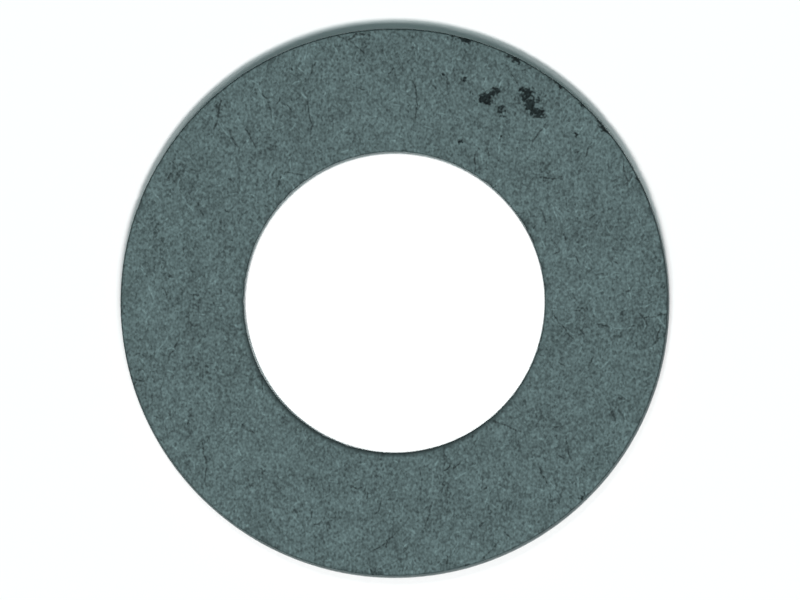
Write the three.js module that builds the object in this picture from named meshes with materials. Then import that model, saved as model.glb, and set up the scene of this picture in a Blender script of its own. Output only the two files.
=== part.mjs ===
// A plain flat washer, blanked from steel strip and tumbled. Millimetres, +Z up along the bore.
// The origin is the centre of the lower bearing face, on the bore's axis.
import * as THREE from "three";

const OUTER_DIAMETER = 24.0;
const BORE_DIAMETER = 13.1; // clears a 12 mm bolt
const THICKNESS = 2.5;

// A compound die cuts the rim and the bore in one stroke, so both walls have the same outline, seen from
// their own side: rolled over at the lower face, burnished above that, then broken away to the upper face.
const ROLLOVER_WIDTH = 0.32; // how far the rollover reaches across the lower face
const ROLLOVER_HEIGHT = 0.2; // how far it reaches up the wall
const BURNISHED_HEIGHT = 0.9; // the band sheared smooth, which has the wall's full diameter
const BREAK_TAPER = 0.015; // how far the broken zone leans back into the metal on its way up
const EDGE_RADIUS = 0.1; // the upper edge, once tumbling has rounded its burr

const TURN_SEGMENTS = 144; // a multiple of 4, so that the rim meets the X and Y axes
const ROLLOVER_STEPS = 5;
const EDGE_STEPS = 3;

const STEEL_COLOUR = 0x57696a; // dull grey with a blue-green cast
const STEEL_ROUGHNESS = 0.7;
const STEEL_METALNESS = 0.6;

// Points on a quarter turn from flat to upright, as [inset into the metal, height], with both axes given.
function quarterTurn(width, height, steps) {
  return Array.from({ length: steps + 1 }, (_, step) => {
    const angle = (step / steps) * (Math.PI / 2);
    return [width * (1 - Math.sin(angle)), height * (1 - Math.cos(angle))];
  });
}

// One cut wall from the lower face to the upper one. facing is 1 where the air lies outside the wall's
// radius, as at the rim, and -1 where it lies inside, as in the bore.
function cutWall(radius, facing) {
  const rollover = quarterTurn(ROLLOVER_WIDTH, ROLLOVER_HEIGHT, ROLLOVER_STEPS);
  const burnishedTop = [0, ROLLOVER_HEIGHT + BURNISHED_HEIGHT];
  const upperEdge = quarterTurn(EDGE_RADIUS, EDGE_RADIUS, EDGE_STEPS)
    .map(([inset, height]) => [BREAK_TAPER + inset, THICKNESS - height])
    .reverse();
  return [...rollover, burnishedTop, ...upperEdge].map(
    ([inset, height]) => new THREE.Vector2(radius - facing * inset, height),
  );
}

// The section goes up the rim, in across the upper face, down the bore and back along the lower face.
function washerSection() {
  const rim = cutWall(OUTER_DIAMETER / 2, 1);
  const bore = cutWall(BORE_DIAMETER / 2, -1).reverse();
  return [...rim, ...bore, rim[0].clone()];
}

function washer() {
  const solid = new THREE.LatheGeometry(washerSection(), TURN_SEGMENTS);
  solid.rotateX(Math.PI / 2); // the lathe turns about Y
  const steel = new THREE.MeshStandardMaterial({
    color: STEEL_COLOUR,
    roughness: STEEL_ROUGHNESS,
    metalness: STEEL_METALNESS,
  });
  const mesh = new THREE.Mesh(solid, steel);
  mesh.name = "washer";
  return mesh;
}

const part = new THREE.Group();
part.add(washer());

export default part;
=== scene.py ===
"""The looks of a stamped and tumbled flat washer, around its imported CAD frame.

The CAD node gives the outer diameter, the bore and the thickness. One finer ring takes its place. It has the
same section, with what the shears and the tumbler leave on steel: torn and burnished walls, uneven edges,
nicks, pits and a dull, scratched skin.

Lengths on the washer are in millimetres until its vertices are written.
"""

import math

import bpy
import numpy as np
from mathutils import Matrix, Vector, noise


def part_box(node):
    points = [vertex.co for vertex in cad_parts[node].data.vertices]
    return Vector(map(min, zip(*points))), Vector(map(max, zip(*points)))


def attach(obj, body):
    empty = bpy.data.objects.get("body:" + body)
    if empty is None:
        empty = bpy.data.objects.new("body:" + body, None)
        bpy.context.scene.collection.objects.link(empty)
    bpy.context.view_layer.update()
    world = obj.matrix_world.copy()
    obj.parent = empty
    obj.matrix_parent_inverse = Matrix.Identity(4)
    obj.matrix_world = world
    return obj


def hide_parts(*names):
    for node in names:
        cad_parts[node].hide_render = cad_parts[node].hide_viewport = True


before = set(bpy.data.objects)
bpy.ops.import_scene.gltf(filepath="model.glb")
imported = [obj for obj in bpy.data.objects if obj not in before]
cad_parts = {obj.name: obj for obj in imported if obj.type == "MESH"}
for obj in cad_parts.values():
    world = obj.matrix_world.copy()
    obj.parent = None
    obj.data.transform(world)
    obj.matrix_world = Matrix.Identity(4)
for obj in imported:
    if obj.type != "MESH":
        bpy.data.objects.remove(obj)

MM = 0.001  # metres in a millimetre
TAU = 2 * math.pi

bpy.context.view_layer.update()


# ---------------------------------------------------------------- sizes, from the frame

low_corner, high_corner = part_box("washer")
THICKNESS = (high_corner.z - low_corner.z) / MM
RIM_RADIUS = (high_corner.x - low_corner.x) / 2 / MM
BORE_RADIUS = min(v.co.xy.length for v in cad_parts["washer"].data.vertices) / MM
RING_WIDTH = RIM_RADIUS - BORE_RADIUS

ROLLOVER_WIDTH = 0.32  # across the lower face
ROLLOVER_HEIGHT = 0.2  # up the wall
BURNISHED_HEIGHT = 0.9  # the band sheared smooth
BREAK_TAPER = 0.015  # how far the broken zone leans back
EDGE_RADIUS = 0.1  # the upper edges

TURN_STEPS = 720
FACE_STEPS_UPPER = 34
FACE_STEPS_LOWER = 24
BROKEN_STEPS = 14
BURNISHED_STEPS = 8
ROLLOVER_STEPS = 8
EDGE_STEPS = 7

RIM, BORE = 1, -1  # which way the air lies from a wall


# ---------------------------------------------------------------- the ring's mesh

def quarter_turn(width, height, steps):
    """Points from flat to upright, as (inset into the metal, height), without the last one."""
    angles = [math.pi / 2 * step / steps for step in range(steps)]
    return [(width * (1 - math.sin(a)), height * (1 - math.cos(a))) for a in angles]


def straight(start, end, steps):
    """Points on a line, without the last one."""
    return [tuple(np.array(start) + (np.array(end) - start) * step / steps) for step in range(steps)]


def wall_outline():
    """One cut wall from the lower face to the upper one, as (inset into the metal, height)."""
    rollover = quarter_turn(ROLLOVER_WIDTH, ROLLOVER_HEIGHT, ROLLOVER_STEPS)
    burnished_top = ROLLOVER_HEIGHT + BURNISHED_HEIGHT
    broken_top = THICKNESS - EDGE_RADIUS
    burnished = straight((0, ROLLOVER_HEIGHT), (0, burnished_top), BURNISHED_STEPS)
    broken = straight((0, burnished_top), (BREAK_TAPER, broken_top), BROKEN_STEPS)
    rounding = quarter_turn(EDGE_RADIUS, EDGE_RADIUS, EDGE_STEPS)[::-1]
    edge = [(BREAK_TAPER + inset, THICKNESS - height) for inset, height in rounding]
    return rollover + burnished + broken + [(BREAK_TAPER, broken_top)] + edge


def ring_section():
    """Rows of (radius, height, side), up the rim, in across the upper face, down the bore and back below."""
    wall = wall_outline()
    rim = [(RIM_RADIUS - inset, height, RIM) for inset, height in wall]
    bore = [(BORE_RADIUS + inset, height, BORE) for inset, height in wall][::-1]
    upper = straight(rim[-1][:2], bore[0][:2], FACE_STEPS_UPPER)[1:]
    lower = straight(bore[-1][:2], rim[0][:2], FACE_STEPS_LOWER)[1:]
    flat = 0
    return rim + [(r, h, flat) for r, h in upper] + bore + [(r, h, flat) for r, h in lower]


def smooth_step(value, low, high):
    share = np.clip((value - low) / (high - low), 0, 1)
    return share * share * (3 - 2 * share)


def noise_at(points, size, seed):
    """Smooth noise from -1 to 1 with features of the given size, one value a point."""
    offset = Vector((seed * 17.3, seed * -9.1, seed * 5.7))
    return np.array([noise.noise(Vector(p) + offset) for p in points / size])


def rough_noise_at(points, size, seed, octaves=3):
    """Noise with finer and fainter octaves on top."""
    total = np.zeros(len(points))
    for octave in range(octaves):
        total += noise_at(points, size / 2**octave, seed + 3 * octave) / 2**octave
    return total


def ring_grid():
    """The plain ring: positions, outward normals, side and height of each vertex, turn by turn."""
    section = np.array(ring_section())
    radius, height, side = section.T
    along_r = np.roll(radius, -1) - np.roll(radius, 1)
    along_h = np.roll(height, -1) - np.roll(height, 1)
    length = np.hypot(along_r, along_h)
    normal_r, normal_h = along_h / length, -along_r / length
    turn = np.arange(TURN_STEPS) * TAU / TURN_STEPS
    cos, sin = np.cos(turn)[:, None], np.sin(turn)[:, None]
    rows = len(section)
    points = np.stack([radius * cos, radius * sin, np.tile(height, (TURN_STEPS, 1))], -1)
    normals = np.stack([normal_r * cos, normal_r * sin, np.tile(normal_h, (TURN_STEPS, 1))], -1)
    return points.reshape(-1, 3), normals.reshape(-1, 3), np.tile(side, TURN_STEPS), rows


def ring_faces(rows):
    """Quads between neighbouring rows and turns, closing both ways round."""
    turn, row = np.meshgrid(np.arange(TURN_STEPS), np.arange(rows), indexing="ij")
    next_turn, next_row = (turn + 1) % TURN_STEPS, (row + 1) % rows
    corners = [turn * rows + row, next_turn * rows + row, next_turn * rows + next_row, turn * rows + next_row]
    return np.stack(corners, -1).reshape(-1, 4)


# Dark, ragged stains on the upper face: (angle in degrees, share of the way from bore to rim, length, width,
# tilt of the length from the X axis in degrees, strength). Lengths are in millimetres.
STAINS = [
    (66.4, 0.585, 0.60, 0.38, 30, 1.3),
    (64.9, 0.650, 0.62, 0.34, 25, 1.2),
    (64.5, 0.575, 0.40, 0.25, -30, 1.1),
    (57.4, 0.775, 0.75, 0.58, -60, 1.25),
    (55.5, 0.730, 0.70, 0.62, -50, 1.35),
    (53.4, 0.700, 0.80, 0.42, -30, 1.35),
    (60.8, 0.555, 0.70, 0.40, -40, 0.8),
    (77.8, 0.985, 0.35, 0.28, -10, 1.0),
    (75.0, 0.980, 0.60, 0.26, -15, 1.3),
    (63.5, 0.970, 0.85, 0.24, -30, 0.95),
    (52.5, 0.980, 0.60, 0.22, -42, 1.0),
    (46.5, 0.985, 0.30, 0.18, -45, 0.9),
    (40.0, 0.980, 0.80, 0.26, -52, 1.3),
    (26.6, 0.990, 0.35, 0.20, -65, 1.2),
    (-45.8, 0.970, 0.40, 0.20, 45, 1.1),
    (72.6, 0.680, 0.28, 0.22, 70, 0.95),
    (78.0, 0.665, 0.18, 0.16, 0, 1.0),
    (57.4, 0.380, 0.22, 0.20, 0, 1.1),
    (42.9, 0.787, 0.32, 0.18, -60, 1.0),
    (67.7, 0.185, 0.30, 0.16, 40, 0.9),
]


def stain_mask(points):
    """How stained each point is, from 0 to the stain's strength at its middle."""
    mask = np.zeros(len(points))
    for angle, share, length, width, tilt, strength in STAINS:
        radius = BORE_RADIUS + share * RING_WIDTH
        centre = radius * np.array([math.cos(math.radians(angle)), math.sin(math.radians(angle))])
        away = points[:, :2] - centre
        cos, sin = math.cos(math.radians(tilt)), math.sin(math.radians(tilt))
        along = (away[:, 0] * cos + away[:, 1] * sin) / (length / 2)
        across = (away[:, 1] * cos - away[:, 0] * sin) / (width / 2)
        mask = np.maximum(mask, strength * np.exp(-0.85 * (along**2 + across**2)))
    return mask * smooth_step(points[:, 2], THICKNESS - 0.3, THICKNESS - 0.1)


BREAK_LINE = ROLLOVER_HEIGHT + BURNISHED_HEIGHT
BREAK_WANDER = 0.16  # how far the line between the burnished band and the broken zone strays
BREAK_TEETH = 0.07  # how far its finer teeth do

# How far each kind of wear goes into the metal.
TEAR_DEPTH = 0.03
SCORE_DEPTH = 0.004
WAVE_DEPTH = 0.0025
PIT_DEPTH = 0.03
EDGE_WEAR = 0.005

NICK_COUNT = 90
NICK_SEED = 11
NICK_RADII = (0.12, 0.32)
NICK_DEPTHS = (0.012, 0.045)
NICK_INSET = 0.05  # from the wall, and from the lower face
DIRTY_NICK = 0.02  # a nick this deep is as dirty as any

SHADED_SIDE = np.array([0.26, 0.97, 0.0])  # painted shade: the upper edges that face this way, away from the key light, get the most
LIP_WIDTH = 0.27  # how far from the bore the painted shade spreads on the upper face


def nick_depth(points):
    """Small dents along the four edges, where tumbled parts have knocked together."""
    draw = np.random.default_rng(NICK_SEED)
    depth = np.zeros(len(points))
    for _ in range(NICK_COUNT):
        angle = draw.uniform(0, TAU)
        radius = draw.choice([RIM_RADIUS - NICK_INSET, BORE_RADIUS + NICK_INSET])
        height = draw.choice([THICKNESS, THICKNESS, NICK_INSET])
        size, deep = draw.uniform(*NICK_RADII), draw.uniform(*NICK_DEPTHS)
        centre = np.array([radius * math.cos(angle), radius * math.sin(angle), height])
        near = 1 - np.sum((points - centre) ** 2, axis=1) / size**2
        depth = np.maximum(depth, deep * np.clip(near, 0, 1) ** 1.5)
    return depth


def wall_masks(radial, height, wall):
    """How broken and how burnished each point is, with a ragged line between the two."""
    break_line = BREAK_LINE + BREAK_WANDER * noise_at(radial, 1.6, 1)
    break_line = break_line + BREAK_TEETH * noise_at(radial, 0.35, 2)
    broken = wall * smooth_step(height, break_line - 0.03, break_line + 0.06)
    broken *= 1 - smooth_step(height, THICKNESS - 1.3 * EDGE_RADIUS, THICKNESS - 0.3 * EDGE_RADIUS)
    burnished = wall * smooth_step(height, 0.5 * ROLLOVER_HEIGHT, ROLLOVER_HEIGHT) * (1 - broken)
    burnished *= 1 - smooth_step(height, break_line, break_line + 0.1)
    return broken, burnished


def edge_shade_mask(points, radial, normals, wall):
    """How much painted shade each point gets: on the upper edges, most where they face away from the key
    light, and on a lip of the upper face round the bore, on the side whose edge faces away from it.
    """
    height = points[:, 2]
    rounding = 1 - np.abs(normals[:, 2])
    upper_edge = wall * smooth_step(height, THICKNESS - 1.2 * EDGE_RADIUS, THICKNESS - 0.8 * EDGE_RADIUS)
    # painted shade: darker where the edge faces away from the key light
    facing = normals @ SHADED_SIDE
    edge_shade = upper_edge * smooth_step(rounding, 0.0, 0.15) * (0.1 + 0.9 * smooth_step(facing, -0.7, 0.7))
    radius = np.hypot(points[:, 0], points[:, 1])
    # painted shade on a lip of the upper face round the bore, on the side whose edge faces away from the key
    # light
    lip = 1 - smooth_step(radius, BORE_RADIUS + EDGE_RADIUS, BORE_RADIUS + LIP_WIDTH)
    lip *= smooth_step(height, THICKNESS - EDGE_RADIUS, THICKNESS)
    lip *= smooth_step(-(radial @ SHADED_SIDE) / radius, -0.3, 0.9)
    return np.maximum(edge_shade, lip)


def washer_mesh():
    """The worn ring, with what the material needs to know of each vertex as attributes."""
    points, normals, side, rows = ring_grid()
    height = points[:, 2]
    radial = points * [1, 1, 0]
    wall = side != 0
    broken, burnished = wall_masks(radial, height, wall)
    stain = stain_mask(points)
    dent = nick_depth(points)

    torn = 0.5 + 0.5 * rough_noise_at(points * [1, 1, 0.35], 0.3, 3)
    scored = noise_at(points * [1, 1, 0.08], 0.14, 5)
    wavy = noise_at(points, 2.2, 6)
    uneven = noise_at(radial, 0.9, 7)
    pitted = stain * np.clip(0.5 + rough_noise_at(points, 0.22, 8), 0, 1)
    edge = smooth_step(height, THICKNESS - 0.25, THICKNESS) * wall

    sink = TEAR_DEPTH * torn * broken
    sink += SCORE_DEPTH * (1 + scored) * burnished
    sink += WAVE_DEPTH * (1 + wavy)
    sink += PIT_DEPTH * pitted
    sink += EDGE_WEAR * (1 + uneven) * edge
    sink += dent

    moved = points - normals * sink[:, None]
    mesh = bpy.data.meshes.new("washer_ring")
    mesh.from_pydata((moved * MM).tolist(), [], ring_faces(rows).tolist())
    mesh.polygons.foreach_set("use_smooth", [True] * len(mesh.polygons))
    masks = {
        "stain": stain,
        "broken": broken,
        "burnished": burnished,
        # painted shade on the upper edges and round the bore
        "edge_shade": edge_shade_mask(points, radial, normals, wall),
        "dented": np.clip(dent / DIRTY_NICK, 0, 1),
    }
    for name, values in masks.items():
        mesh.attributes.new(name, "FLOAT", "POINT").data.foreach_set("value", values.astype(np.float32))
    mesh.update()
    return mesh


# ---------------------------------------------------------------- shader helpers

class Graph:
    """Adds linked nodes to a node tree, so that a material reads as a formula."""

    def __init__(self, tree):
        self.tree = tree

    def add(self, kind, **settings):
        made = self.tree.nodes.new(kind)
        for name, value in settings.items():
            setattr(made, name, value)
        return made

    def put(self, socket, value):
        if isinstance(value, bpy.types.NodeSocket):
            self.tree.links.new(value, socket)
        else:
            socket.default_value = value

    def math(self, operation, *values):
        made = self.add("ShaderNodeMath", operation=operation)
        for socket, value in zip(made.inputs, values):
            self.put(socket, value)
        return made.outputs[0]

    def total(self, *values):
        result = values[0]
        for value in values[1:]:
            result = self.math("ADD", result, value)
        return result

    def times(self, *values):
        result = values[0]
        for value in values[1:]:
            result = self.math("MULTIPLY", result, value)
        return result

    def weighted(self, layers, weights):
        """1, plus each named layer times its weight."""
        return self.total(1.0, *(self.times(layers[name], weight) for name, weight in weights.items()))

    def vector(self, operation, *values):
        made = self.add("ShaderNodeVectorMath", operation=operation)
        for socket, value in zip(made.inputs, values):
            self.put(socket, value)
        return made.outputs[0]

    def scaled(self, value, factor):
        """A vector or colour times a number."""
        made = self.add("ShaderNodeVectorMath", operation="SCALE")
        self.put(made.inputs[0], value)
        self.put(made.inputs["Scale"], factor)
        return made.outputs[0]

    def ramp(self, value, start, end, to_start=0.0, to_end=1.0):
        """A smooth step from to_start at start to to_end at end."""
        made = self.add("ShaderNodeMapRange", interpolation_type="SMOOTHSTEP")
        settings = {"Value": value, "From Min": start, "From Max": end, "To Min": to_start, "To Max": to_end}
        for name, setting in settings.items():
            self.put(made.inputs[name], setting)
        return made.outputs["Result"]

    def noise(self, place, size, detail=2.0, roughness=0.5, distortion=0.0):
        """Noise about 0, between -0.5 and 0.5, with features of the given size."""
        made = self.add("ShaderNodeTexNoise")
        settings = {
            "Vector": place,
            "Scale": 1 / size,
            "Detail": detail,
            "Roughness": roughness,
            "Distortion": distortion,
        }
        for name, setting in settings.items():
            self.put(made.inputs[name], setting)
        return self.math("SUBTRACT", made.outputs["Fac"], 0.5)

    def grains(self, place, size):
        """A value between -0.5 and 0.5 for each irregular grain."""
        made = self.add("ShaderNodeTexVoronoi")
        self.put(made.inputs["Vector"], place)
        self.put(made.inputs["Scale"], 1 / size)
        return self.math("SUBTRACT", self.split(made.outputs["Color"])[0], 0.5)

    def wander(self, place, size, reach):
        """The place, shifted smoothly this way and that by up to about reach."""
        made = self.add("ShaderNodeTexNoise")
        settings = {"Vector": place, "Scale": 1 / size, "Detail": 1.0}
        for name, setting in settings.items():
            self.put(made.inputs[name], setting)
        shift = self.vector("SUBTRACT", made.outputs["Color"], (0.5, 0.5, 0.5))
        return self.vector("ADD", place, self.vector("MULTIPLY", shift, (2 * reach, 2 * reach, 2 * reach)))

    def attribute(self, name):
        return self.add("ShaderNodeAttribute", attribute_name=name).outputs["Fac"]

    def split(self, value):
        made = self.add("ShaderNodeSeparateXYZ")
        self.put(made.inputs[0], value)
        return made.outputs

    def blend(self, share, first, second):
        """One colour turning into another."""
        made = self.add("ShaderNodeMix", data_type="RGBA")
        self.put(made.inputs["Factor"], share)
        self.put(made.inputs[6], first)
        self.put(made.inputs[7], second)
        return made.outputs[2]

    def mix(self, share, first, second):
        """One number turning into another."""
        made = self.add("ShaderNodeMix", data_type="FLOAT")
        self.put(made.inputs["Factor"], share)
        self.put(made.inputs[2], first)
        self.put(made.inputs[3], second)
        return made.outputs[0]


def strokes(graph, place, cell, half_length, half_width, share, bend, lean):
    """Curved strokes, at most one in each cell of a Voronoi pattern, most of them faint.

    Each has a turn, bend, length and strength of its own. The turns crowd round the Y axis the more lean is.
    """
    cells = graph.add("ShaderNodeTexVoronoi", voronoi_dimensions="2D")
    graph.put(cells.inputs["Vector"], place)
    graph.put(cells.inputs["Scale"], 1 / cell)
    chance = graph.split(cells.outputs["Color"])
    either_way = graph.total(graph.times(chance[0], 2.0), -1.0)
    crowded = graph.math("POWER", graph.math("ABSOLUTE", either_way), lean)
    turn = graph.times(graph.math("SIGN", either_way), crowded, TAU / 4)
    turned = graph.add("ShaderNodeVectorRotate", rotation_type="Z_AXIS")
    graph.put(turned.inputs["Vector"], graph.vector("SUBTRACT", place, cells.outputs["Position"]))
    graph.put(turned.inputs["Angle"], turn)
    across, along, _ = graph.split(turned.outputs[0])
    bow = graph.times(graph.total(graph.math("FRACT", graph.times(chance[0], 7.0)), -0.5), 2 * bend)
    across = graph.total(across, graph.times(bow, along, along))
    reach = graph.times(graph.total(0.4, graph.times(chance[1], 0.6)), half_length)
    on_line = graph.ramp(graph.math("ABSOLUTE", across), 0.3 * half_width, half_width, 1.0, 0.0)
    ends = graph.ramp(graph.math("DIVIDE", graph.math("ABSOLUTE", along), reach), 0.5, 1.0, 1.0, 0.0)
    strength = graph.ramp(chance[2], 1 - share, 1 - 0.4 * share)
    return graph.times(on_line, ends, strength)


def strongest_strokes(graph, place, kinds):
    """Strokes of several kinds, the strongest one at each place."""
    result = strokes(graph, place, *kinds[0])
    for kind in kinds[1:]:
        result = graph.math("MAXIMUM", result, strokes(graph, place, *kind))
    return result


# ---------------------------------------------------------------- the steel's skin

SKIN_COLOUR = (0.1005, 0.1430, 0.1452)
STAIN_COLOUR = (0.018, 0.028, 0.029)
# painted shade on the upper edges, and dirt in the nicks
SHADE_AND_DIRT_COLOUR = (0.036, 0.053, 0.054, 1)
BURNISHED_COLOUR = (0.114, 0.157, 0.160)
BROKEN_COLOUR = (0.082, 0.118, 0.120)

METALLIC = 0.85
SKIN_ROUGHNESS = 0.745
BURNISHED_ROUGHNESS = 0.48
BUMP_HEIGHT = 0.004

# How much each layer of the skin lightens it, or darkens it if below 0.
SKIN_WEIGHTS = {
    "grain": 0.68,
    "grit_grains": 0.5,
    "clumps": 0.2,
    "patches": 0.3,
    "mottle": 0.4,
    "gaps": -0.11,
    "hairs": 0.13,
    "dots": -0.3,
    "smudge": -0.08,
    "clots": -0.15,
    "dark_lines": -0.52,
    "light_lines": 0.42,
    "specks": 0.15,
}
DARKEST_SKIN = 0.35  # how dark they can make it together
STAIN_WEIGHTS = {"grain": 1.6, "grit_grains": 0.8}
WALL_WEIGHTS = {"grain": 0.35, "patches": 0.4, "mottle": 0.3}

# Kinds of stroke, as (cell, half length, half width, share of the cells that have one, bend, lean).
DARK_STROKES = [
    (2.3, 1.3, 0.055, 0.7, 0.15, 1.6),
    (1.5, 0.6, 0.06, 0.35, 0.4, 1.3),
    (0.8, 0.28, 0.05, 0.2, 0.9, 1.2),
]
LIGHT_STROKES = [
    (0.7, 0.3, 0.05, 0.6, 0.8, 1.0),
    (1.6, 0.7, 0.05, 0.5, 0.4, 1.0),
]


def skin_layers(graph, place):
    """The grain, clouds, lines and dots of the skin, by name."""
    drawn = graph.vector("MULTIPLY", place, (1.0, 0.8, 1.0))
    grain = graph.noise(drawn, 0.095, detail=0.0)
    clumps = graph.noise(drawn, 0.18, detail=0.0)
    patches = graph.noise(place, 0.85, detail=1.0)

    gaps = graph.math("ABSOLUTE", graph.noise(drawn, 0.24, detail=0.0, distortion=0.5))
    gaps = graph.times(graph.ramp(gaps, 0.0, 0.05, 1.0, 0.0), graph.ramp(clumps, 0.0, -0.08))
    hairs = graph.math("ABSOLUTE", graph.noise(place, 0.3, detail=0.0, distortion=0.4))
    hairs = graph.times(graph.ramp(hairs, 0.0, 0.035, 1.0, 0.0), graph.ramp(patches, -0.02, 0.1))

    smudge = graph.ramp(graph.noise(graph.vector("MULTIPLY", place, (1.0, 0.6, 1.0)), 0.7), 0.1, 0.22)
    winding = graph.wander(place, 0.5, 0.12)
    dark_lines = strongest_strokes(graph, winding, DARK_STROKES)
    dark_lines = graph.times(dark_lines, graph.ramp(graph.noise(place, 0.3), -0.26, -0.06))
    dark_lines = graph.times(dark_lines, graph.ramp(grain, 0.2, -0.1, 0.8, 1.0))
    grit = graph.noise(place, 0.1, detail=1.0)
    dots = graph.total(grit, graph.times(dark_lines, 0.1), graph.times(smudge, 0.08))
    return {
        "grain": grain,
        "grit_grains": graph.grains(drawn, 0.1),
        "clumps": clumps,
        "patches": patches,
        "mottle": graph.noise(place, 2.0, detail=1.0),
        "gaps": gaps,
        "hairs": hairs,
        "dots": graph.ramp(dots, 0.3, 0.46),
        "smudge": smudge,
        "clots": graph.times(smudge, graph.ramp(grain, 0.12, -0.12)),
        "dark_lines": dark_lines,
        "light_lines": strongest_strokes(graph, winding, LIGHT_STROKES),
        "specks": graph.ramp(graph.noise(place, 0.16, detail=0.0), 0.24, 0.32),
    }


def stain_share(graph, place):
    """How far the stains cover each place, with ragged edges."""
    fine_edge = graph.noise(place, 0.12, detail=0.0)
    coarse_edge = graph.noise(place, 0.35, detail=0.0)
    near_stain = graph.attribute("stain")
    stain = graph.total(near_stain, graph.times(fine_edge, 1.4), coarse_edge)
    return graph.times(graph.ramp(stain, 0.33, 0.95), graph.ramp(near_stain, 0.0, 0.25))


def skin_colour(graph, layers, stain):
    """The colour of the skin with its painted edge shade, dirt in the nicks, and stains."""
    tone = graph.math("MAXIMUM", graph.weighted(layers, SKIN_WEIGHTS), DARKEST_SKIN)
    edge_shade, dented = graph.attribute("edge_shade"), graph.attribute("dented")
    # painted shade on the upper edges, and dirt in the nicks, darken the skin
    dirt_and_shade = graph.math("MAXIMUM", graph.times(edge_shade, 0.9), graph.times(dented, 0.6))
    skin = graph.blend(dirt_and_shade, graph.scaled(SKIN_COLOUR, tone), SHADE_AND_DIRT_COLOUR)
    stain_colour = graph.scaled(STAIN_COLOUR, graph.weighted(layers, STAIN_WEIGHTS))
    return graph.blend(graph.times(stain, 0.93), skin, stain_colour)


def steel():
    material = bpy.data.materials.new("tumbled_steel")
    material.use_nodes = True
    graph = Graph(material.node_tree)
    shader = material.node_tree.nodes["Principled BSDF"]
    shader.inputs["Metallic"].default_value = METALLIC

    place = graph.scaled(graph.add("ShaderNodeTexCoord").outputs["Object"], 1 / MM)
    layers = skin_layers(graph, place)
    grain, dots = layers["grain"], layers["dots"]
    stain = stain_share(graph, place)
    skin = skin_colour(graph, layers, stain)

    broken, burnished = graph.attribute("broken"), graph.attribute("burnished")
    scores = graph.noise(graph.vector("MULTIPLY", place, (1.0, 1.0, 0.05)), 0.13, detail=2.0)
    tears = graph.noise(graph.vector("MULTIPLY", place, (1.0, 1.0, 0.45)), 0.2, detail=3.0, roughness=0.6)
    pits = graph.times(graph.ramp(tears, -0.04, -0.16), -0.25)
    shared = graph.weighted(layers, WALL_WEIGHTS)
    torn_tone = graph.total(shared, graph.times(tears, 0.9), graph.times(scores, 0.35), pits)
    smooth_tone = graph.total(shared, graph.times(scores, 0.7))
    skin = graph.blend(broken, skin, graph.scaled(BROKEN_COLOUR, torn_tone))
    skin = graph.blend(burnished, skin, graph.scaled(BURNISHED_COLOUR, smooth_tone))
    graph.put(shader.inputs["Base Color"], skin)

    skin_rough = [graph.times(grain, -0.08), graph.times(dots, 0.05), graph.times(stain, 0.12)]
    rough = graph.total(SKIN_ROUGHNESS, *skin_rough)
    smooth = graph.total(BURNISHED_ROUGHNESS, graph.times(scores, -0.3))
    graph.put(shader.inputs["Roughness"], graph.mix(burnished, rough, smooth))

    wall_height = graph.total(graph.times(broken, tears, 5.0), graph.times(burnished, scores, 2.0))
    sunk = [graph.times(dots, -0.5), graph.times(stain, -0.5)]
    bump = graph.add("ShaderNodeBump")
    bump.inputs["Strength"].default_value = 1.0
    bump.inputs["Distance"].default_value = BUMP_HEIGHT * MM
    graph.put(bump.inputs["Height"], graph.total(grain, layers["clumps"], wall_height, *sunk))
    graph.put(shader.inputs["Normal"], bump.outputs[0])
    return material


def make_washer():
    washer = bpy.data.objects.new("washer_ring", washer_mesh())
    bpy.context.scene.collection.objects.link(washer)
    washer.data.materials.append(steel())
    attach(washer, "root")
    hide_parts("washer")


# ---------------------------------------------------------------- studio

# Distances in the studio are in metres, unless a comment says otherwise.
FLOOR_HALF = 1.0
FLOOR_ALBEDO = 0.9
LIGHT_DISTANCE = 1.5
# Each light's tilt from overhead, the direction it leans in (from +X towards +Y), how wide it looks, how
# bright it makes the floor (1 is white) and its colour. Three lights in an arc stand for one long soft key.
LIGHTS = {
    "key": (11.3, -88, 4.0, 0.553, (1.0, 0.93, 0.93)),
    "key_left": (9.7, -113, 4.0, 0.18, (0.93, 1.0, 1.0)),
    "key_right": (8.7, -63, 4.0, 0.18, (0.93, 1.0, 1.0)),
    "fill": (7.2, 110, 3.0, 0.11, (0.85, 1.0, 1.0)),
}
BEAM_LEVEL = 0.95  # how bright the beam in the bore makes the floor
BEAM_MARGIN = 0.03  # what it leaves dark next to the wall, in millimetres
BEAM_ANGLE = 1.0  # how wide it opens, in degrees
BEAM_BLEND = 0.02  # how soft its edge is

HORIZON_COLOUR = (1.0, 1.0, 1.0, 1)
SKY_COLOUR = (0.0, 0.042, 0.042, 1)
HORIZON_HEIGHT = 0.16  # where the horizon has faded into the sky, as the sine of the angle up


def make_floor():
    mesh = bpy.data.meshes.new("floor")
    h = FLOOR_HALF
    mesh.from_pydata([(-h, -h, 0), (h, -h, 0), (h, h, 0), (-h, h, 0)], [], [(0, 1, 2, 3)])
    floor = bpy.data.objects.new("floor", mesh)
    bpy.context.scene.collection.objects.link(floor)
    paper = bpy.data.materials.new("white_paper")
    paper.use_nodes = True
    shader = paper.node_tree.nodes["Principled BSDF"]
    shader.inputs["Base Color"].default_value = (FLOOR_ALBEDO, FLOOR_ALBEDO, FLOOR_ALBEDO, 1)
    shader.inputs["Roughness"].default_value = 1.0
    shader.inputs["Specular IOR Level"].default_value = 0.0
    mesh.materials.append(paper)


def direction(tilt_degrees, azimuth_degrees):
    """The unit vector leaning from overhead by the tilt, towards the azimuth, which goes from +X to +Y."""
    tilt, azimuth = math.radians(tilt_degrees), math.radians(azimuth_degrees)
    return Vector((math.sin(tilt) * math.cos(azimuth), math.sin(tilt) * math.sin(azimuth), math.cos(tilt)))


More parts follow.
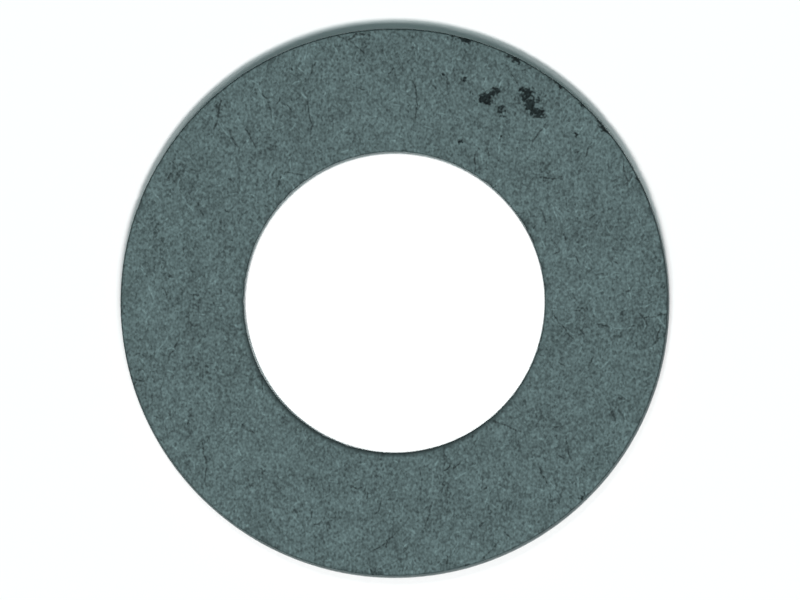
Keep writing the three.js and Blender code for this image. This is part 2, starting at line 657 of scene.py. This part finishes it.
def make_light(name, tilt_degrees, azimuth_degrees, spread_degrees, level, colour):
    """A round soft light aimed at the washer."""
    towards = direction(tilt_degrees, azimuth_degrees)
    lamp = bpy.data.lights.new(name, "AREA")
    lamp.shape = "DISK"
    lamp.size = 2 * LIGHT_DISTANCE * math.tan(math.radians(spread_degrees) / 2)
    lamp.energy = level / FLOOR_ALBEDO * (math.pi * LIGHT_DISTANCE) ** 2 / towards.z
    lamp.color = colour
    light = bpy.data.objects.new(name, lamp)
    light.location = LIGHT_DISTANCE * towards
    light.rotation_euler = towards.to_track_quat("Z", "Y").to_euler()
    bpy.context.scene.collection.objects.link(light)


def make_bore_light():
    """A narrow beam from straight above, which lights the floor inside the bore and nothing else."""
    angle = math.radians(BEAM_ANGLE)
    lamp = bpy.data.lights.new("bore_beam", "SPOT")
    lamp.spot_size = angle
    lamp.spot_blend = BEAM_BLEND
    lamp.shadow_soft_size = 0.0
    height = (BORE_RADIUS - BEAM_MARGIN) * MM / math.tan(angle / 2)
    lamp.energy = BEAM_LEVEL / FLOOR_ALBEDO * (2 * math.pi * height) ** 2
    light = bpy.data.objects.new("bore_beam", lamp)
    light.location = (0, 0, height)
    bpy.context.scene.collection.objects.link(light)


def make_world():
    """A dim sky overhead that brightens to a pale horizon."""
    world = bpy.data.worlds.new("studio")
    bpy.context.scene.world = world
    world.use_nodes = True
    graph = Graph(world.node_tree)
    up = graph.split(graph.add("ShaderNodeTexCoord").outputs["Generated"])[2]
    background = world.node_tree.nodes["Background"]
    sky = graph.blend(graph.ramp(up, 0.0, HORIZON_HEIGHT), HORIZON_COLOUR, SKY_COLOUR)
    graph.put(background.inputs["Color"], sky)
    background.inputs["Strength"].default_value = 1.0


FRAME_WIDTH = 1.4573  # of the picture, in outer diameters
OFF_CENTRE = (0.0104, 0.0040)  # how far from the bore's axis the camera aims, in outer diameters
CAMERA_LEAN = 2.0  # from straight overhead, in degrees
CAMERA_AZIMUTH = -65  # the direction it leans in
CAMERA_DISTANCE = 0.5
CLIP_END = 10


def make_camera():
    diameter = 2 * RIM_RADIUS * MM
    lens = bpy.data.cameras.new("camera")
    lens.type = "ORTHO"
    lens.ortho_scale = FRAME_WIDTH * diameter
    lens.clip_end = CLIP_END
    camera = bpy.data.objects.new("camera", lens)
    towards = direction(CAMERA_LEAN, CAMERA_AZIMUTH)
    aim = Vector((OFF_CENTRE[0] * diameter, OFF_CENTRE[1] * diameter, THICKNESS * MM))
    camera.location = aim + CAMERA_DISTANCE * towards
    across = Vector((0, 1, 0)).cross(towards).normalized()
    camera.rotation_euler = Matrix((across, towards.cross(across), towards)).transposed().to_euler()
    bpy.context.scene.collection.objects.link(camera)
    bpy.context.scene.camera = camera


make_washer()
make_floor()
for light_name, settings in LIGHTS.items():
    make_light(light_name, *settings)
make_bore_light()
make_world()
make_camera()
bpy.context.scene.view_settings.view_transform = "Standard"
